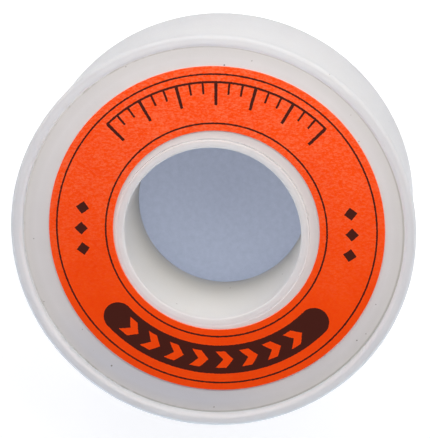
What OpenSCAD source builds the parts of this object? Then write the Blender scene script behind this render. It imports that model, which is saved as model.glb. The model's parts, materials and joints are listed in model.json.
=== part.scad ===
// Roll of thread seal tape: tape wound on a flanged spool, which turns in a round moulded shell.
// Millimetres. +Z runs up the bore, and the origin is the middle of the foot that the shell lies on.

/* [Tape] */
// Length of the tape
tape_length = 13208; // [6000:1:30000]
// Width of the tape
tape_w = 12.7; // [9:0.1:25.4]
// Thickness of the tape
tape_t = 0.089; // [0.06:0.001:0.2]

/* [Spool] */
// Wall of the hub that carries the tape
hub_wall = 0.8; // [0.6:0.05:2]
// Lead-in chamfer at the hub's free end
hub_chamfer = 0.3; // [0.1:0.05:0.5]
// Thickness of the front flange
flange_t = 1.4; // [1:0.1:3]
// Rounding of the flange's outer edges
flange_edge_r = 0.25; // [0.1:0.05:0.45]
// Rounding of the flange's hole, where the centre tube comes through
flange_hole_r = 0.2; // [0.1:0.05:0.4]

/* [Shell] */
// Bore of the centre tube
bore_d = 22.2; // [15:0.1:30]
// Wall of the centre tube
tube_wall = 1.05; // [0.6:0.05:2]
// Height of the centre tube's lip above the flange
lip_rise = 0.6; // [0.4:0.05:2]
// Rounding of the lip's edges
lip_edge_r = 0.15; // [0.1:0.05:0.4]
// Rounding of the bore's rear edge
bore_edge_r = 1; // [0.4:0.1:1.5]
// Thickness of the outer wall
shell_wall = 1; // [0.8:0.05:2]
// Thickness of the floor behind the tape
floor_t = 1.2; // [0.8:0.1:2.5]
// Fillet inside the shell, between the floor and the outer wall
floor_fillet = 0.6; // [0.2:0.1:0.7]
// Depth of the recess under the floor
foot_h = 0.8; // [0.4:0.1:2]
// Width of the flat ring that the shell lies on
foot_flat = 0.9; // [0.5:0.05:3]
// Rounding of the shell's rear edge
rear_edge_r = 0.8; // [0.4:0.1:1.5]
// How far the rim stands out from the outer wall
rim_proud = 0.45; // [0.2:0.05:1]
// Height of the rim above the flange
rim_rise = 1.2; // [0.8:0.05:2]
// Height of the thicker band that makes the rim
rim_h = 1.5; // [1:0.05:3]
// Rounding of the rim's edges
rim_edge_r = 0.3; // [0.1:0.05:0.45]

/* [Fits] */
// Running clearance between the centre tube and the hub, on the radius
hub_fit = 0.06; // [0.02:0.01:0.1]
// Clearance between the hub and the first turn of tape, on the radius
wind_fit = 0.06; // [0.02:0.01:0.1]
// Room at each side of the tape
tape_side_gap = 0.2; // [0.1:0.05:0.5]
// Room between the full roll and the shell's outer wall
roll_room = 0.61; // [0.5:0.01:3]
// Gap between the flange and the rim, on the radius
flange_gap = 0.25; // [0.15:0.05:0.5]

/* [Label] */
// Thickness of the paper label
label_t = 0.15; // [0.08:0.01:0.4]
// Bare flange outside the label
label_out_margin = 2.6; // [1.5:0.1:5]
// Bare flange inside the label
label_in_margin = 0.75; // [0.7:0.05:3]
// How far the label is stuck off centre, sideways
label_shift_x = 0.44; // [-0.6:0.02:0.6]
// How far the label is stuck off centre, upwards as read
label_shift_y = 0.28; // [-0.6:0.02:0.6]

/* [Hidden] */
$fn = 180;

plastic_colour = [0.88, 0.88, 0.87];
tape_colour = [0.96, 0.96, 0.94];
label_colour = [0.95, 0.31, 0.11];

// How far a cut runs past the surface that it opens, and a fillet into the wall that it joins
overrun = 0.1;
// Steps around the roll's spiral outline
spiral_steps = 180;

// Radii, from the bore outwards
bore_r = bore_d / 2;
tube_r = bore_r + tube_wall;
hub_in_r = tube_r + hub_fit;
hub_r = hub_in_r + hub_wall;
core_r = hub_r + wind_fit;
// The roll's end face has the area of the tape's edge
roll_r = sqrt(core_r * core_r + tape_length * tape_t / PI);
shell_in_r = roll_r + roll_room;
shell_r = shell_in_r + shell_wall;
flange_r = shell_in_r - flange_gap;
rim_r = shell_r + rim_proud;
rim_under_r = min(rim_edge_r, rim_proud);
foot_w = foot_flat + rear_edge_r;
foot_edge_r = rear_edge_r / 2;
label_r = flange_r - label_out_margin;
label_in_r = hub_in_r + label_in_margin;

// Heights, from the foot upwards
floor_top = foot_h + floor_t;
tape_z = floor_top + tape_side_gap;
flange_z = tape_z + tape_w + tape_side_gap;
face_z = flange_z + flange_t;
tube_top_z = face_z + lip_rise;
rim_top_z = face_z + rim_rise;
rim_low_z = rim_top_z - rim_h;

// What rounding takes off a square corner, which is at the origin with its material towards +x and +y.
// Added to an inner corner instead, it is a fillet.
module corner(radius) {
    difference() {
        translate([-overrun, -overrun])
            square(radius + overrun);
        translate([radius, radius])
            circle(radius);
    }
}

// Ring of the profile between two radii and two heights
module band(inner, outer, low, high) {
    translate([inner, low])
        square([outer - inner, high - low]);
}

module shell_profile() {
    difference() {
        union() {
            // Outer wall, with its rim
            band(shell_in_r, shell_r, 0, rim_top_z);
            band(shell_in_r, rim_r, rim_low_z, rim_top_z);
            // Floor, on the foot ring
            band(bore_r, shell_r, foot_h, floor_top);
            band(shell_r - foot_w - foot_edge_r, shell_r, 0, floor_top);
            translate([shell_in_r, floor_top])
                mirror([1, 0])
                    corner(floor_fillet);
            // Centre tube
            band(bore_r, tube_r, foot_h, tube_top_z);
        }
        translate([shell_r, 0])
            mirror([1, 0])
                corner(rear_edge_r);
        translate([shell_r - foot_w - foot_edge_r, 0])
            corner(foot_edge_r);
        translate([bore_r, foot_h])
            corner(bore_edge_r);
        // The rim's edges
        translate([shell_in_r, rim_top_z])
            mirror([0, 1])
                corner(rim_edge_r);
        translate([rim_r, rim_top_z])
            rotate(180)
                corner(rim_edge_r);
        translate([rim_r, rim_low_z])
            mirror([1, 0])
                corner(rim_under_r);
        // The tube's end, a flat lip with rounded edges
        translate([bore_r, tube_top_z])
            mirror([0, 1])
                corner(lip_edge_r);
        translate([tube_r, tube_top_z])
            rotate(180)
                corner(lip_edge_r);
    }
}

module spool_profile() {
    difference() {
        union() {
            band(hub_in_r, hub_r, floor_top, face_z);
            band(hub_in_r, flange_r, flange_z, face_z);
        }
        translate([hub_in_r, floor_top])
            rotate(45)
                square(hub_chamfer * sqrt(2), center = true);
        translate([flange_r, face_z])
            rotate(180)
                corner(flange_edge_r);
        translate([flange_r, flange_z])
            mirror([1, 0])
                corner(flange_edge_r);
        translate([hub_in_r, face_z])
            mirror([0, 1])
                corner(flange_hole_r);
    }
}

// One moulding: outer wall with its rim, recessed floor and centre tube
module shell() {
    color(plastic_colour)
        rotate_extrude()
            shell_profile();
}

// One moulding: the hub, which turns on the shell's centre tube, and the front flange
module spool() {
    color(plastic_colour)
        rotate_extrude()
            spool_profile();
}

// The wound tape, whose outline is a spiral that ends in a step of one thickness, the free end
module tape_roll() {
    turn_shares = [for (i = [0 : spiral_steps]) i / spiral_steps];
    outline = [for (share = turn_shares)
        (roll_r - tape_t * (1 - share)) * [cos(360 * share), sin(360 * share)]];
    color(tape_colour)
        translate([0, 0, tape_z])
            difference() {
                linear_extrude(tape_w)
                    polygon(outline);
                translate([0, 0, -overrun])
                    cylinder(r = core_r, h = tape_w + 2 * overrun);
            }
}

// Paper ring stuck on the flange, a little off centre
module label() {
    color(label_colour)
        translate([label_shift_x, label_shift_y, face_z])
            difference() {
                cylinder(r = label_r, h = label_t);
                translate([0, 0, -overrun])
                    cylinder(r = label_in_r, h = label_t + 2 * overrun);
            }
}

shell();
tape_roll();
spool();
label();
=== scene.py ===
import json
import math

import bmesh
import bpy
from mathutils import Matrix, Vector, noise


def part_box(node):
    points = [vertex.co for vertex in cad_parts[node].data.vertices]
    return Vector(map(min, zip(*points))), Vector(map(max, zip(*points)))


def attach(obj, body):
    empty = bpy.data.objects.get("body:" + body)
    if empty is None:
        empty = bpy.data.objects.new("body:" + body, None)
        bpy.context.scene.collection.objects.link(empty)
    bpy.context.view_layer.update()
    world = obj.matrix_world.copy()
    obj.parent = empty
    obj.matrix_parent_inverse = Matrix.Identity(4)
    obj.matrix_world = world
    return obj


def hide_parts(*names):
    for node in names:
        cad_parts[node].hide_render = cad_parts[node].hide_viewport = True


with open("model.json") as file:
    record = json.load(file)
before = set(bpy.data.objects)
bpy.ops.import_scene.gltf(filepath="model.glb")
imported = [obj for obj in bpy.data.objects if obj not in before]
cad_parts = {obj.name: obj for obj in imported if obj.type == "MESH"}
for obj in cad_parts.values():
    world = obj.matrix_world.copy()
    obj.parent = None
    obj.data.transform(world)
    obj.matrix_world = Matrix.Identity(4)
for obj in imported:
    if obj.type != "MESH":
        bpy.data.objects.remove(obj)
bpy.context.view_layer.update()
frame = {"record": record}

# The camera stands over the roll, 17 degrees off the bore and towards the top of the label.
# Its distance and lens come from the rim, whose near and far edges differ in size.
mm = 0.001
photo_w, photo_h = 430, 438
focal_px = 2174
px_per_mm = 7.99
face_centre_px = Vector((212.5, 233.2))
tilt = math.radians(16.98)
bearing = math.radians(72.65)
face_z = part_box("spool")[1].z

backward = Vector((
    math.sin(tilt) * math.cos(bearing),
    math.sin(tilt) * math.sin(bearing),
    math.cos(tilt),
))
rightward = Vector((0, 1, 0)).cross(backward).normalized()
upward = backward.cross(rightward)
off_axis = (Vector((photo_w, photo_h)) / 2 - face_centre_px) * mm / px_per_mm
camera_place = Vector((0, 0, face_z)) + backward * (focal_px / px_per_mm) * mm
camera_place += rightward * off_axis.x - upward * off_axis.y

camera_data = bpy.data.cameras.new("camera")
camera_data.sensor_width = 36
camera_data.lens = camera_data.sensor_width * focal_px / max(photo_w, photo_h)
camera_data.clip_start = 0.01
camera = bpy.data.objects.new("camera", camera_data)
camera.matrix_world = Matrix((
    (rightward.x, upward.x, backward.x, camera_place.x),
    (rightward.y, upward.y, backward.y, camera_place.y),
    (rightward.z, upward.z, backward.z, camera_place.z),
    (0, 0, 0, 1),
))
scene = bpy.context.scene
scene.collection.objects.link(camera)
scene.camera = camera
scene.view_settings.view_transform = "Standard"


# Shell: one injection moulding in natural polyethylene, shaped like a ring cake tin. The outer wall ends
# in a thicker, flat rim with rounded edges, the floor is recessed behind a foot ring, and the centre tube
# comes up through the spool, where its end is the lip of the bore.
rim_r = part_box("shell")[1].x
rim_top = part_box("shell")[1].z
floor_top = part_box("spool")[0].z
bore_r = frame["record"]["mounts"][0]["dims"]["r_mm"] * mm
rim_proud = 0.45 * mm
rim_h = 1.5 * mm
rim_low_edge = 0.3 * mm
rim_top_edge = 0.5 * mm
under_rim = 0.1 * mm
shell_wall = 1.0 * mm
shell_r = rim_r - rim_proud
shell_in_r = shell_r - shell_wall
rim_low = rim_top - rim_h
floor_corner = 0.6 * mm
foot_h = 0.8 * mm
foot_w = 2.1 * mm
foot_in_r = shell_r - foot_w
foot_in_edge = 0.4 * mm
foot_out_edge = 0.8 * mm
foot_corner = 0.2 * mm
tube_wall = 1.05 * mm
tube_r = bore_r + tube_wall
lip_h = 0.6 * mm
lip_dip = 0.07 * mm
lip_out_edge = 0.06 * mm
lip_in_edge = 0.22 * mm
tube_top = face_z + lip_h
bore_rear_edge = 1.0 * mm


def turned(corners, steps=240, longest=0.9 * mm):
    """A round piece from its half section, whose corners are (radius, height, rounding)."""
    bm = bmesh.new()
    section = [bm.verts.new((radius, 0, height)) for radius, height, _ in corners]
    bm.faces.new(section)
    for vert, (_, _, rounding) in zip(section, corners):
        if rounding:
            bmesh.ops.bevel(
                bm, geom=[vert], offset=rounding, offset_type="OFFSET", segments=8,
                profile=0.5, affect="VERTICES", material=-1,
            )
    bmesh.ops.delete(bm, geom=bm.faces[:], context="FACES_ONLY")
    for edge in bm.edges[:]:
        cuts = int(edge.calc_length() / longest)
        if cuts:
            bmesh.ops.subdivide_edges(bm, edges=[edge], cuts=cuts)
    bmesh.ops.spin(
        bm, geom=bm.verts[:] + bm.edges[:], cent=(0, 0, 0), axis=(0, 0, 1),
        angle=2 * math.pi, steps=steps, use_merge=True,
    )
    bmesh.ops.remove_doubles(bm, verts=bm.verts[:], dist=0.001 * mm)
    return bm


def uneven(bm, amount, spread, tight, fade=0.5 * mm):
    """Sinks the surface here and there, as plastic does when it shrinks.

    It fades out towards the radii that fit tight.
    """
    bmesh.ops.recalc_face_normals(bm, faces=bm.faces[:])
    bm.normal_update()
    for vert in bm.verts:
        clear = min(abs(vert.co.xy.length - radius) for radius in tight)
        sink = 0.5 - 0.5 * noise.noise(vert.co / spread)
        vert.co -= vert.normal * amount * min(max(sink, 0), 1) * min(clear / fade, 1)


def finished(bm, name, material):
    """The piece's object, with smooth faces that stay flat where the piece is flat."""
    bmesh.ops.recalc_face_normals(bm, faces=bm.faces[:])
    mesh = bpy.data.meshes.new(name)
    bm.to_mesh(mesh)
    bm.free()
    mesh.shade_smooth()
    mesh.materials.append(material)
    piece = bpy.data.objects.new(name, mesh)
    scene.collection.objects.link(piece)
    piece.modifiers.new("flat_faces", "WEIGHTED_NORMAL").weight = 80
    return piece


def put(tree, kind, inputs=None, **settings):
    """A shader node with its settings, and with each input set to a value or linked to an output."""
    node = tree.nodes.new("ShaderNode" + kind)
    for name, value in settings.items():
        setattr(node, name, value)
    for name, value in (inputs or {}).items():
        if isinstance(value, bpy.types.NodeSocket):
            tree.links.new(value, node.inputs[name])
        else:
            node.inputs[name].default_value = value
    return node


def calc(tree, operation, *values):
    """The output of a Math node."""
    return put(tree, "Math", dict(enumerate(values)), operation=operation).outputs[0]


def tint(tree, share, under, over):
    """A colour with another laid over it by share."""
    return put(tree, "Mix", {0: share, 6: under, 7: over}, data_type="RGBA").outputs[2]


def ramp(tree, value, low, high, to_low=0, to_high=1):
    """A value brought from one range to another, and held at its ends."""
    return put(tree, "MapRange", {
        "Value": value, "From Min": low, "From Max": high, "To Min": to_low, "To Max": to_high,
    }).outputs[0]


def mottled(tree, place, scale, **details):
    """The output of a Noise node, from 0 to 1."""
    return put(tree, "TexNoise", {"Vector": place, "Scale": scale, **details}).outputs[0]


def flattened(tree, place):
    """A place with its height taken out."""
    return put(tree, "VectorMath", {0: place, 1: (1, 1, 0)}, operation="MULTIPLY").outputs[0]


def from_axis(tree, place):
    """How far a place is from the upright axis."""
    return put(tree, "VectorMath", {0: flattened(tree, place)}, operation="LENGTH").outputs["Value"]


def effect(name, takes, gives):
    """An empty node group: its tree, with the named sockets that it takes in and gives out."""
    group = bpy.data.node_groups.new(name, "ShaderNodeTree")
    for socket, default in takes.items():
        kind = "NodeSocketFloat" if default is not None else "NodeSocketVector"
        made = group.interface.new_socket(name=socket, in_out="INPUT", socket_type=kind)
        if default is not None:
            made.default_value = default
    for socket in gives:
        group.interface.new_socket(name=socket, in_out="OUTPUT", socket_type="NodeSocketFloat")
    return group, group.nodes.new("NodeGroupInput").outputs, group.nodes.new("NodeGroupOutput").inputs


def use(tree, group, **inputs):
    """The outputs of a group placed in a material, with its own values."""
    return put(tree, "Group", inputs, node_tree=group).outputs


def new_material(name):
    """A material's tree, its shader and the piece's own coordinates in millimetres."""
    material = bpy.data.materials.new(name)
    material.use_nodes = True
    tree = material.node_tree
    shader = tree.nodes["Principled BSDF"]
    place = put(tree, "Mapping", {
        "Vector": put(tree, "TexCoord").outputs["Object"], "Scale": (1 / mm, 1 / mm, 1 / mm),
    })
    return material, tree, shader, place.outputs[0]


# Satin of a moulded face: broad clouds where the plastic is thicker or cooled slower, a fine grain from the
# mould, and hairline scuffs from handling, which follow one level of a drawn-out noise.
moulded_satin, taken, given = effect(
    "moulded_satin", {"Place": None}, ["Cloud", "Grain", "Scuffs"])
cloud = mottled(moulded_satin, taken["Place"], 0.16, Detail=4, Roughness=0.55)
grain = mottled(moulded_satin, taken["Place"], 3.2, Detail=3, Roughness=0.6)
scuff_fineness = 4
scuff_level = 0.68
scuff_half = 0.012
scuffs = None
for turn, stretch in ((0.5, 0.05), (1.9, 0.035), (2.7, 0.06)):
    drawn = put(moulded_satin, "Mapping", {
        "Vector": taken["Place"], "Rotation": (0, 0, turn),
        "Scale": (stretch * scuff_fineness, scuff_fineness, scuff_fineness)})
    streak = mottled(moulded_satin, drawn.outputs[0], 0.9, Detail=1)
    line = calc(moulded_satin, "ABSOLUTE", calc(moulded_satin, "SUBTRACT", streak, scuff_level))
    line = ramp(moulded_satin, line, 0, scuff_half, 1, 0)
    scuffs = line if scuffs is None else calc(moulded_satin, "MAXIMUM", scuffs, line)
moulded_satin.links.new(ramp(moulded_satin, cloud, 0.3, 0.7), given["Cloud"])
moulded_satin.links.new(grain, given["Grain"])
moulded_satin.links.new(scuffs, given["Scuffs"])

# Specks of dirt from a workshop: one in some of the cells of a fine random pattern, each of its own size.
dirt_specks, taken, given = effect(
    "dirt_specks", {"Place": None, "Cell": 2.0, "Share": 0.1, "Size": 0.12}, ["Specks"])
cells = put(dirt_specks, "TexVoronoi", {
    "Vector": taken["Place"], "Scale": calc(dirt_specks, "DIVIDE", 1, taken["Cell"])})
luck = put(dirt_specks, "SeparateColor", {0: cells.outputs["Color"]}).outputs
speck_ragged = 0.12
speck_soft = 0.03
smallest_share = 0.45
ragged = calc(dirt_specks, "MULTIPLY", mottled(dirt_specks, taken["Place"], 9, Detail=2), speck_ragged)
reach = calc(dirt_specks, "MULTIPLY", cells.outputs["Distance"], taken["Cell"])
reach = calc(dirt_specks, "ADD", reach, ragged)
size = calc(
    dirt_specks, "MULTIPLY", taken["Size"], ramp(dirt_specks, luck["Green"], 0, 1, smallest_share, 1))
size = calc(dirt_specks, "ADD", size, speck_ragged / 2)
speck = ramp(dirt_specks, calc(dirt_specks, "SUBTRACT", reach, size), -speck_soft, speck_soft, 1, 0)
picked = calc(dirt_specks, "LESS_THAN", luck["Red"], taken["Share"])
dirt_specks.links.new(calc(dirt_specks, "MULTIPLY", speck, picked), given["Specks"])

# Dirt and painted shade in a round crevice: a line at one radius, thick here and gone there, and whole
# where its cover is high. It can lean darker to one side of the ring, as painted shade.
crevice_dirt_and_shade, taken, given = effect(
    "crevice_dirt_and_shade", {"Place": None, "Radius": 12.0, "Width": 0.15, "Cover": 0.5, "Lean": 0.0}, ["Dirt"])
dirt_core = 0.4
patch_soft = 0.06
radius = from_axis(crevice_dirt_and_shade, taken["Place"])
off_line = calc(crevice_dirt_and_shade, "ABSOLUTE", calc(crevice_dirt_and_shade, "SUBTRACT", radius, taken["Radius"]))
in_line = ramp(crevice_dirt_and_shade, calc(crevice_dirt_and_shade, "DIVIDE", off_line, taken["Width"]), dirt_core, 1, 1, 0)
patchy = calc(
    crevice_dirt_and_shade, "ADD", mottled(crevice_dirt_and_shade, taken["Place"], 0.55, Detail=5, Roughness=0.75),
    calc(crevice_dirt_and_shade, "SUBTRACT", taken["Cover"], 1))
rightness = calc(
    crevice_dirt_and_shade, "DIVIDE", put(crevice_dirt_and_shade, "SeparateXYZ", {0: taken["Place"]}).outputs["X"], radius)
patchy = calc(crevice_dirt_and_shade, "ADD", patchy, calc(crevice_dirt_and_shade, "MULTIPLY", rightness, taken["Lean"]))
patchy = ramp(crevice_dirt_and_shade, patchy, -patch_soft, patch_soft)
crevice_dirt_and_shade.links.new(calc(crevice_dirt_and_shade, "MULTIPLY", in_line, patchy), given["Dirt"])

# Colour of the crevice lines, which stand for dirt and for painted shade in the joints
dirt_and_shade_colour = (0.27, 0.25, 0.21, 1)
speck_brown = (0.09, 0.06, 0.045, 1)
speck_cover = 0.8
# Bearing of the side that is painted darker and cooler: painted shade away from the lamps
shaded_side_bearing = math.radians(250)
lip_fade = (12.4, 13.4)
bore_fade = (11.4, 11.9)
crevice_fade = (face_z / mm - 0.9, face_z / mm - 0.3)
scuff_rough = 0.12
scuff_depth = 0.5


def milky_plastic(name, milk, cooler, zones, crevices, specked, depth, weight):
    """Natural plastic, which lets light in and scatters it, with the dirt that it has picked up, and
    painted light and shade in its colour.

    A zone is a colour that comes in between two radii, between two heights on the tube's lip or in its
    bore, or towards the shaded side, as painted shade. A crevice is a share of dirt and painted shade and
    the values of its line, and darkens only its front end. Zones and lines are measured in millimetres.
    """
    material, tree, shader, place = new_material(name)
    satin = use(tree, moulded_satin, Place=place)
    colour = tint(tree, satin["Cloud"], milk, cooler)
    radius = from_axis(tree, place)
    axes = put(tree, "SeparateXYZ", {0: place}).outputs
    towards_shaded_side = calc(
        tree, "ADD", calc(tree, "MULTIPLY", axes["X"], math.cos(shaded_side_bearing)),
        calc(tree, "MULTIPLY", axes["Y"], math.sin(shaded_side_bearing)))
    ways = {
        "radius": (radius, 1),
        "shaded_side": (towards_shaded_side, 1),
        "lip": (axes["Z"], ramp(tree, radius, *lip_fade, 1, 0)),
        "bore": (axes["Z"], ramp(tree, radius, *bore_fade, 1, 0)),
    }
    for way, start, full, zone in zones:
        along, where = ways[way]
        share = calc(tree, "MULTIPLY", ramp(tree, along, start, full), where)
        colour = tint(tree, share, colour, zone)
    near_front = ramp(tree, axes["Z"], *crevice_fade)
    for strength, values in crevices:
        dirt_and_shade = use(tree, crevice_dirt_and_shade, Place=place, **values)["Dirt"]
        share = calc(tree, "MULTIPLY", dirt_and_shade, calc(tree, "MULTIPLY", near_front, strength))
        colour = tint(tree, share, colour, dirt_and_shade_colour)
    specks = use(tree, dirt_specks, Place=place, Cell=1.2, Share=specked, Size=0.1)["Specks"]
    colour = tint(tree, calc(tree, "MULTIPLY", specks, speck_cover), colour, speck_brown)
    tree.links.new(colour, shader.inputs["Base Color"])
    rough = ramp(tree, satin["Grain"], 0.3, 0.7, 0.44, 0.54)
    rough = calc(tree, "ADD", rough, calc(tree, "MULTIPLY", satin["Scuffs"], scuff_rough))
    tree.links.new(rough, shader.inputs["Roughness"])
    relief = calc(tree, "SUBTRACT", satin["Grain"], calc(tree, "MULTIPLY", satin["Scuffs"], scuff_depth))
    bump = put(tree, "Bump", {"Height": relief, "Strength": 0.5, "Distance": 0.02 * mm})
    tree.links.new(bump.outputs[0], shader.inputs["Normal"])
    shader.inputs["IOR"].default_value = 1.5
    shader.inputs["Specular IOR Level"].default_value = 0.2
    shader.inputs["Subsurface Weight"].default_value = weight
    shader.inputs["Subsurface Radius"].default_value = (1, 0.95, 0.9)
    shader.inputs["Subsurface Scale"].default_value = depth
    return material


shell = turned([
    (foot_in_r, 0, foot_in_edge),
    (shell_r, 0, foot_out_edge),
    (shell_r, rim_low, under_rim),
    (rim_r, rim_low, rim_low_edge),
    (rim_r, rim_top, rim_top_edge),
    (shell_in_r, rim_top, rim_top_edge),
    (shell_in_r, floor_top, floor_corner),
    (tube_r, floor_top, 0),
    (tube_r, tube_top, lip_out_edge),
    (bore_r, tube_top - lip_dip, lip_in_edge),
    (bore_r, foot_h, bore_rear_edge),
    (foot_in_r, foot_h, foot_corner),
])
uneven(shell, amount=0.03 * mm, spread=9 * mm, tight=(tube_r, shell_in_r))
shell = finished(shell, "shell_moulding", milky_plastic(
    "milky_shell", milk=(0.665, 0.67, 0.68, 1), cooler=(0.635, 0.64, 0.655, 1),
    zones=[
        # The bore is painted darker towards its rear end and lighter up its wall, as painted shade and
        # light; the lip's top comes back to a darker, warmer tone
        ("bore", 0, 4, (0.7, 0.69, 0.655, 1)),
        ("bore", 4, 14.5, (0.8, 0.8, 0.79, 1)),
        ("lip", 16.2, 17, (0.715, 0.695, 0.69, 1)),
        # The rim's outer edge is painted darker: painted shade that tones down its highlight
        ("radius", 24.65, 25.15, (0.59, 0.595, 0.605, 1)),
    ],
    crevices=[
        # At the lip's foot: a patchy line of dirt, and a wider whole line of painted shade
        (0.4, {"Radius": tube_r / mm, "Width": 0.12, "Cover": 0.34}),
        (0.15, {"Radius": tube_r / mm - 0.1, "Width": 0.32, "Cover": 1.2}),
    ],
    specked=0.08, depth=3 * mm, weight=1))
# The thin wall glows through rather than throwing a hard shadow on the flange
shell.visible_shadow = False
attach(shell, "shell")
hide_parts("shell")


# Spool: the second moulding, of the same plastic. A hub turns on the shell's centre tube, and a flat flange
# closes the front. The flange's edge is a little rounded, lies below the rim, and holds a line of dirt and
# painted shade.
flange_t = 1.4 * mm
flange_low_edge = 0.2 * mm
flange_top_edge = 0.09 * mm
drawn_gap = 0.012 * mm
edge_r = shell_in_r - drawn_gap
hub_in_r = tube_r + drawn_gap
hub_reach = 0.86 * mm
hub_r = tube_r + hub_reach
hub_in_edge = 0.25 * mm
hub_out_edge = 0.1 * mm
hole_dip = 0.13 * mm
hole_dip_r = 13.0 * mm
hole_edge = 0.04 * mm

spool = turned([
    (hub_in_r, floor_top, hub_in_edge),
    (hub_r, floor_top, hub_out_edge),
    (hub_r, face_z - flange_t, 0),
    (edge_r, face_z - flange_t, flange_low_edge),
    (edge_r, face_z, flange_top_edge),
    (hole_dip_r, face_z, 0),
    (hub_in_r, face_z - hole_dip, hole_edge),
])
uneven(spool, amount=0.025 * mm, spread=11 * mm, tight=(hub_in_r, edge_r))
spool = finished(spool, "spool_moulding", milky_plastic(
    "milky_spool", milk=(0.745, 0.725, 0.72, 1), cooler=(0.715, 0.697, 0.692, 1),
    zones=[
        # The flange is painted darker and cooler towards the bottom side, away from the lamps: painted
        # shade
        ("shaded_side", 16.5, 21.5, (0.66, 0.663, 0.697, 1)),
        # The ring between the lip and the label is painted pinker and darker: a painted orange bounce from
        # the label
        ("radius", 13.6, 13, (0.695, 0.645, 0.635, 1)),
        # The flange is painted darker towards its edge, as painted shade of the rim
        ("radius", 22.4, 24.2, (0.6, 0.58, 0.56, 1)),
    ],
    crevices=[
        # The flange's edge: a line, partly dirt and partly painted shade, that leans darker to the right,
        # over a whole line of painted shade; at the hub, a patchy line of dirt
        (0.45, {"Radius": edge_r / mm - 0.06, "Width": 0.22, "Cover": 0.64, "Lean": 0.26}),
        (0.14, {"Radius": edge_r / mm - 0.08, "Width": 0.24, "Cover": 1.2}),
        (0.3, {"Radius": hub_in_r / mm + 0.1, "Width": 0.16, "Cover": 0.34}),
    ],
    specked=0.25, depth=0.6 * mm, weight=0.15))
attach(spool, "spool")
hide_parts("spool")


# Tape: white film of expanded polymer, unsintered and waxy, wound on the hub without glue. Each turn lies
# on the last, its edges a hair in or out, and the free end is a straight cut that lifts a little.
roll_low, roll_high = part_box("tape_roll")
roll_r = roll_high.x
core_gap = 0.06 * mm
core_r = hub_r + core_gap
tape_t = 0.089 * mm
last_turn_room = 2.1 * tape_t
edge_rings = 46
ring_w = (roll_r - last_turn_room - core_r) / edge_rings


def edge_in(ring, pace, *seed):
    """How far a group of turns has its edge inside the end of the roll."""
    wander = 0.05 + 0.1 * noise.noise((ring * pace, *seed))
    every_other = 0.03 * (ring % 2)
    least = 0.004 * (ring % 3)
    return max(wander + every_other, least) * mm


edges_out, edges_back = [], []
for ring in range(edge_rings):
    for side in (0, 1):
        ring_r = core_r + ring_w * (ring + side)
        edges_out.append((ring_r, roll_low.z + edge_in(ring, 0.31, 0.7, 2.5), 0))
        edges_back.insert(0, (ring_r, roll_high.z - edge_in(ring, 0.27, 4.1, 6.5), 0))
tape = turned(edges_out + edges_back)
uneven(tape, amount=0.04 * mm, spread=3 * mm, tight=(core_r,))

# The last turn: the tape's section, moved on around the roll and out by one thickness on the way
strip_rows = 12
strip_steps = 248
strip_turns = 1.03
lift_steps = 14
lift = 0.22 * mm
slip_h = 0.05 * mm
slip_pace = 1.7
last_turn = bmesh.new()
heights = [roll_low.z + (roll_high.z - roll_low.z) * row / strip_rows for row in range(strip_rows + 1)]
section = [last_turn.verts.new((roll_r - tape_t, 0, height)) for height in heights]
section += [last_turn.verts.new((roll_r - 2 * tape_t, 0, height)) for height in reversed(heights)]
last_turn.faces.new(section)
front = last_turn.edges[:]
around = 2 * math.pi * strip_turns / strip_steps
for step in range(1, strip_steps + 1):
    grown = bmesh.ops.extrude_edge_only(last_turn, edges=front)["geom"]
    moved = [item for item in grown if isinstance(item, bmesh.types.BMVert)]
    edges = [item for item in grown if isinstance(item, bmesh.types.BMEdge)]
    front = [edge for edge in edges if set(edge.verts) <= set(moved)]
    bmesh.ops.rotate(last_turn, verts=moved, cent=(0, 0, 0), matrix=Matrix.Rotation(around, 3, "Z"))
    facing = Vector((math.cos(around * step), math.sin(around * step), 0))
    came_from = Vector((math.cos(around * (step - 1)), math.sin(around * (step - 1)), 0))
    lifting = step - strip_steps + lift_steps
    curl = max(lifting, 0) ** 2 - max(lifting - 1, 0) ** 2
    slip = noise.noise(facing * slip_pace) - noise.noise(came_from * slip_pace)
    outward = facing * (tape_t * around / (2 * math.pi) + lift * curl / lift_steps ** 2)
    bmesh.ops.translate(last_turn, verts=moved, vec=outward + Vector((0, 0, slip_h * slip)))
bmesh.ops.contextual_create(last_turn, geom=front)
wrapped = bpy.data.meshes.new("last_turn")
last_turn.to_mesh(wrapped)
last_turn.free()
tape.from_mesh(wrapped)
bpy.data.meshes.remove(wrapped)

# Streaks run around the roll, about one to a turn on its ends and two to a millimetre on its side
film, tree, shader, place = new_material("waxy_film")
streaks_per_mm = 1.9
turns_per_mm = 11.2
streak_draw = 0.07
axes = put(tree, "SeparateXYZ", {0: place}).outputs
across_turns = calc(
    tree, "ADD", calc(tree, "MULTIPLY", axes["Z"], streaks_per_mm),
    calc(tree, "MULTIPLY", from_axis(tree, place), turns_per_mm))
drawn = put(tree, "CombineXYZ", {
    "X": calc(tree, "MULTIPLY", axes["X"], streak_draw),
    "Y": calc(tree, "MULTIPLY", axes["Y"], streak_draw),
    "Z": across_turns,
}).outputs[0]
streaks = mottled(tree, drawn, 1, Detail=3, Roughness=0.6)
wax = mottled(tree, place, 0.5, Detail=4, Roughness=0.65)
colour = tint(tree, ramp(tree, streaks, 0.35, 0.65), (0.83, 0.83, 0.81, 1), (0.9, 0.9, 0.89, 1))
colour = tint(tree, ramp(tree, wax, 0.5, 0.75, 0, 0.5), colour, (0.8, 0.8, 0.77, 1))
tree.links.new(colour, shader.inputs["Base Color"])
tree.links.new(ramp(tree, wax, 0.3, 0.7, 0.42, 0.6), shader.inputs["Roughness"])
relief = calc(tree, "ADD", streaks, wax)
bump = put(tree, "Bump", {"Height": relief, "Strength": 0.6, "Distance": 0.03 * mm})
tree.links.new(bump.outputs[0], shader.inputs["Normal"])
shader.inputs["Specular IOR Level"].default_value = 0.3
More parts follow.
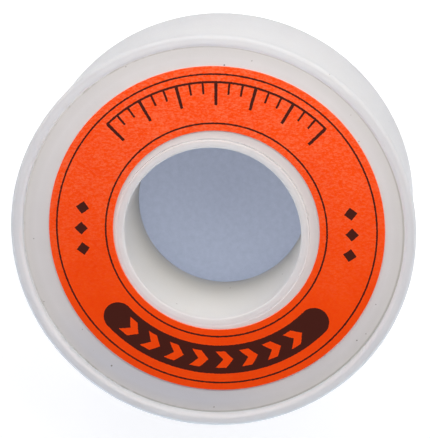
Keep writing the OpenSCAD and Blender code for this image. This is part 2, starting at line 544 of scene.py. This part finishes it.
shader.inputs["Subsurface Weight"].default_value = 0.4
shader.inputs["Subsurface Radius"].default_value = (1, 1, 0.95)
shader.inputs["Subsurface Scale"].default_value = 1.2 * mm
tape = finished(tape, "wound_tape", film)
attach(tape, "tape")
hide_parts("tape_roll")


# Label: a ring of coated paper, printed orange with dark brown marks, die cut and stuck on the flange by
# hand, a little off centre. The marks are plain ones: chevrons, a tick scale, diamonds and hairlines.
label_low, label_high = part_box("label")
label_centre = (label_low + label_high) / 2
label_r = (label_high.x - label_low.x) / 2
label_in_r = 12.96 * mm
cut_edge = 0.04 * mm
label = turned([
    (label_in_r, label_low.z, 0),
    (label_r, label_low.z, 0),
    (label_r, label_high.z, cut_edge),
    (label_in_r, label_high.z, cut_edge),
])
bmesh.ops.translate(label, verts=label.verts[:], vec=(label_centre.x, label_centre.y, 0))

# The ink spreads a little in the paper, so the marks are drawn in slightly feathered places
paper, tree, shader, place = new_material("printed_paper")
ink_spread = 0.12
centred = put(tree, "Mapping", {
    "Vector": place, "Location": (-label_centre.x / mm, -label_centre.y / mm, 0)}).outputs[0]
feather = put(tree, "TexNoise", {"Vector": centred, "Scale": 5, "Detail": 2})
feather = put(tree, "VectorMath", {0: feather.outputs["Color"], 1: (0.5, 0.5, 0.5)}, operation="SUBTRACT")
feather = put(tree, "VectorMath", {0: feather.outputs[0], "Scale": ink_spread}, operation="SCALE")
inked = put(tree, "VectorMath", {0: centred, 1: feather.outputs[0]}, operation="ADD").outputs[0]
inked_flat = flattened(tree, inked)
axes = put(tree, "SeparateXYZ", {0: inked}).outputs
across, along = axes["X"], axes["Y"]
radius = from_axis(tree, inked)
angle = calc(tree, "ARCTAN2", along, across)
whole_steps = 100


def within(value, middle, half):
    """1 where a value is near the middle."""
    return calc(tree, "COMPARE", value, middle, half)


def below(value, limit):
    """1 where a value is under the limit."""
    return calc(tree, "LESS_THAN", value, limit)


def both(*masks):
    """1 where every mask is."""
    joined = masks[0]
    for mask in masks[1:]:
        joined = calc(tree, "MULTIPLY", joined, mask)
    return joined


def either(*masks):
    """1 where any mask is."""
    joined = masks[0]
    for mask in masks[1:]:
        joined = calc(tree, "MAXIMUM", joined, mask)
    return joined


def repeats(value, spacing, shift):
    """A value's share of the way from one repeat to the next, from 0 to 1."""
    steps = calc(tree, "DIVIDE", value, spacing)
    return calc(tree, "FRACT", calc(tree, "ADD", steps, whole_steps + shift))


def off_nearest(value, spacing):
    """How far a value is from the nearest multiple of the spacing."""
    off = calc(tree, "ABSOLUTE", calc(tree, "SUBTRACT", repeats(value, spacing, 0.5), 0.5))
    return calc(tree, "MULTIPLY", off, spacing)


# Broad band along the bottom, with round ends and eight chevrons, four to each side of the middle
band_r = 17.0
band_half = math.radians(47)
band_w = 1.9
chevrons_aside = 4
chevron_pitch = 3.2
chevron_slope = 0.9
chevron_h = 1.1
chevron_share = 0.2
from_band = calc(tree, "ABSOLUTE", calc(tree, "SUBTRACT", radius, band_r))
band = both(within(angle, -math.pi / 2, band_half), below(from_band, band_w))
for side in (-1, 1):
    end = (band_r * math.sin(band_half) * side, -band_r * math.cos(band_half), 0)
    reach = put(tree, "VectorMath", {0: inked_flat, 1: end}, operation="DISTANCE").outputs["Value"]
    band = either(band, below(reach, band_w))
run = calc(tree, "MULTIPLY", calc(tree, "ADD", angle, math.pi / 2), band_r)
slant = calc(tree, "ADD", run, calc(tree, "MULTIPLY", from_band, chevron_slope))
stripe = within(repeats(slant, chevron_pitch, 0), 0.5, chevron_share)
chevrons = both(stripe, within(slant, 0, chevron_pitch * chevrons_aside), below(from_band, chevron_h))
band = both(band, calc(tree, "SUBTRACT", 1, chevrons))

# Tick scale along the top: short ticks every 5 degrees, long ones every 15, and the line that they hang
# from, which ends with the last ticks
scale_r = 19.0
scale_half = 46
scale_line_r = 19.1
scale_line_half = 45.4
scale_line_w = 0.14
tick_mid_r = 18
from_top = calc(tree, "MULTIPLY", calc(tree, "SUBTRACT", angle, math.pi / 2), 180 / math.pi)
scale = both(within(radius, scale_line_r, scale_line_w), within(from_top, 0, scale_line_half))
for step, low, half_w in ((5, 17.6, 0.13), (15, 16.2, 0.2)):
    gap = calc(tree, "MULTIPLY", off_nearest(from_top, step), math.pi / 180 * tick_mid_r)
    scale = either(scale, both(
        below(gap, half_w), within(radius, (low + scale_r) / 2, (scale_r - low) / 2),
        within(from_top, 0, scale_half)))

# Three diamonds at each side, and a hairline along each edge
diamond_gap = 2.7
diamond_half = 0.85
outer_hairline_r = 20.1
inner_hairline_r = 13.9
hairline_w = 0.11
sideways = calc(tree, "MULTIPLY", calc(tree, "ARCTAN2", along, calc(tree, "ABSOLUTE", across)), band_r)
off_diamond = calc(tree, "ADD", off_nearest(sideways, diamond_gap), from_band)
diamonds = both(below(off_diamond, diamond_half), within(sideways, 0, diamond_gap * 1.5))
hairlines = either(
    within(radius, outer_hairline_r, hairline_w), within(radius, inner_hairline_r, hairline_w))
ink = either(band, scale, diamonds, hairlines)

# The orange is mottled, with paler flecks along the paper's fibres that grow towards the top: a painted
# sheen
sheen_cover = 0.42
sheen_orange = (0.9, 0.27, 0.14, 1)
mottle = mottled(tree, centred, 2.2, Detail=4, Roughness=0.7)
broad = mottled(tree, centred, 0.22, Detail=2)
shade = calc(tree, "ADD", calc(tree, "MULTIPLY", mottle, 0.7), calc(tree, "MULTIPLY", broad, 0.3))
orange = tint(tree, ramp(tree, shade, 0.35, 0.65), (0.82, 0.05, 0.001, 1), (0.88, 0.068, 0.002, 1))
fibres = put(tree, "Mapping", {"Vector": centred, "Rotation": (0, 0, 0.3), "Scale": (2.4, 4.6, 4)})
fibres = mottled(tree, fibres.outputs[0], 1, Detail=3, Roughness=0.75)
top_sheen = ramp(tree, calc(tree, "ADD", along, calc(tree, "MULTIPLY", broad, 12)), -4, 20, 0.06, 1)
top_sheen = calc(tree, "MULTIPLY", top_sheen, sheen_cover)
sheen_flecks = calc(tree, "MULTIPLY", ramp(tree, fibres, 0.42, 0.68), top_sheen)
orange = tint(tree, sheen_flecks, orange, sheen_orange)

# The brown is printed over it with pinholes, and the cut edges show the paper's pale core
dark_brown = (0.026, 0.008, 0.006, 1)
brown_cover = 0.97
pinhole_depth = 0.35
label_speck = (0.07, 0.03, 0.02, 1)
label_speck_cover = 0.7
paper_core = (0.8, 0.6, 0.5, 1)
core_cover = 0.35
core_w = 0.03
pinholes = use(tree, dirt_specks, Place=centred, Cell=0.7, Share=0.12, Size=0.05)["Specks"]
cover = calc(tree, "SUBTRACT", brown_cover, calc(tree, "MULTIPLY", pinholes, pinhole_depth))
print_colour = tint(tree, calc(tree, "MULTIPLY", ink, cover), orange, dark_brown)
specks = use(tree, dirt_specks, Place=centred, Cell=4.2, Share=0.07, Size=0.08)["Specks"]
print_colour = tint(tree, calc(tree, "MULTIPLY", specks, label_speck_cover), print_colour, label_speck)
edge = either(
    calc(tree, "GREATER_THAN", radius, label_r / mm - core_w), below(radius, label_in_r / mm + core_w))
print_colour = tint(tree, calc(tree, "MULTIPLY", edge, core_cover), print_colour, paper_core)
tree.links.new(print_colour, shader.inputs["Base Color"])
# The print gives out a little light in its own colour: a painted glow, for the fluorescent look of the
# orange ink
tree.links.new(print_colour, shader.inputs["Emission Color"])
shader.inputs["Emission Strength"].default_value = 0.2
tree.links.new(ramp(tree, mottle, 0.3, 0.7, 0.5, 0.66), shader.inputs["Roughness"])
shader.inputs["Specular IOR Level"].default_value = 0.08
bump = put(tree, "Bump", {"Height": mottle, "Strength": 0.4, "Distance": 0.015 * mm})
tree.links.new(bump.outputs[0], shader.inputs["Normal"])
label = finished(label, "ring_label", paper)
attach(label, "spool")
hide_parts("label")


# Studio: a pale table, white to the camera, with a blue-grey ground right under the roll, which shows in
# the bore. Three soft boxes stand around the top of the label, and three weak cool ones lie low opposite.
table_half = 1.5
table_drop = 0.02 * mm
bm = bmesh.new()
bmesh.ops.create_grid(bm, x_segments=1, y_segments=1, size=table_half)
bmesh.ops.translate(bm, verts=bm.verts[:], vec=(0, 0, -table_drop))
floor_mesh = bpy.data.meshes.new("floor")
bm.to_mesh(floor_mesh)
bm.free()
floor = bpy.data.objects.new("floor", floor_mesh)
scene.collection.objects.link(floor)

white = (1, 1, 1, 1)
pale_table = (0.62, 0.64, 0.68, 1)
pale_glow = (0.63, 0.61, 0.58, 1)
table, tree, shader, place = new_material("table")
table_radius = from_axis(tree, place)
outside = ramp(tree, table_radius, 20, 23)
far_out = ramp(tree, table_radius, 45, 120)
weave = ramp(tree, mottled(tree, place, 1.3, Detail=5, Roughness=0.7), 0.3, 0.7)
ground = tint(tree, weave, (0.2, 0.235, 0.31, 1), (0.24, 0.275, 0.35, 1))
ground_glow = tint(tree, weave, (0.212, 0.234, 0.299, 1), (0.234, 0.258, 0.332, 1))
table_glow = tint(tree, outside, ground_glow, pale_glow)


def seen_directly(tree):
    """1 for rays that show the background: to the camera, or by way of a reflection or glass."""
    ray = put(tree, "LightPath").outputs
    seen = calc(tree, "MAXIMUM", ray["Is Camera Ray"], ray["Is Glossy Ray"])
    return calc(tree, "MAXIMUM", seen, ray["Is Transmission Ray"])


tree.links.new(tint(tree, outside, ground, pale_table), shader.inputs["Base Color"])
tree.links.new(tint(tree, far_out, table_glow, white), shader.inputs["Emission Color"])
tree.links.new(seen_directly(tree), shader.inputs["Emission Strength"])
shader.inputs["Roughness"].default_value = 0.9
shader.inputs["Specular IOR Level"].default_value = 0.1
floor_mesh.materials.append(table)

world = bpy.data.worlds.new("studio")
scene.world = world
world.use_nodes = True
tree = world.node_tree
room = tree.nodes["Background"]
room.inputs["Color"].default_value = (0.85, 0.78, 1, 1)
room.inputs["Strength"].default_value = 0.17
backdrop = put(tree, "Background", {"Color": white, "Strength": 1})
mixed = put(tree, "MixShader", {0: seen_directly(tree), 1: room.outputs[0], 2: backdrop.outputs[0]})
tree.links.new(mixed.outputs[0], tree.nodes["World Output"].inputs["Surface"])

roll_middle = Vector((0, 0, 12 * mm))
box_distance = 0.14
for name, around_z, above, width, height, watts, colour in (
    ("top_box", 90, 36, 0.12, 0.08, 0.056, (1, 0.985, 0.94)),
    ("right_box", 45, 37, 0.12, 0.08, 0.111, (1, 0.975, 0.92)),
    ("left_box", 135, 37, 0.12, 0.08, 0.075, (1, 0.985, 0.96)),
    ("low_left_box", 225, 3, 0.16, 0.024, 0.095, (0.81, 0.91, 1)),
    ("low_box", 270, 3, 0.12, 0.024, 0.028, (0.62, 0.86, 1)),
    ("low_right_box", 312, 3, 0.12, 0.024, 0.09, (0.84, 0.93, 1)),
):
    box_data = bpy.data.lights.new(name, "AREA")
    box_data.shape = "RECTANGLE"
    box_data.size = width
    box_data.size_y = height
    box_data.energy = watts
    box_data.color = colour
    box_data.cycles.use_multiple_importance_sampling = False
    level = math.cos(math.radians(above))
    towards = Vector((
        level * math.cos(math.radians(around_z)),
        level * math.sin(math.radians(around_z)),
        math.sin(math.radians(above)),
    ))
    soft_box = bpy.data.objects.new(name, box_data)
    soft_box.location = roll_middle + towards * box_distance
    soft_box.rotation_mode = "QUATERNION"
    soft_box.rotation_quaternion = (-towards).to_track_quat("-Z", "Y")
    soft_box.visible_camera = False
    scene.collection.objects.link(soft_box)
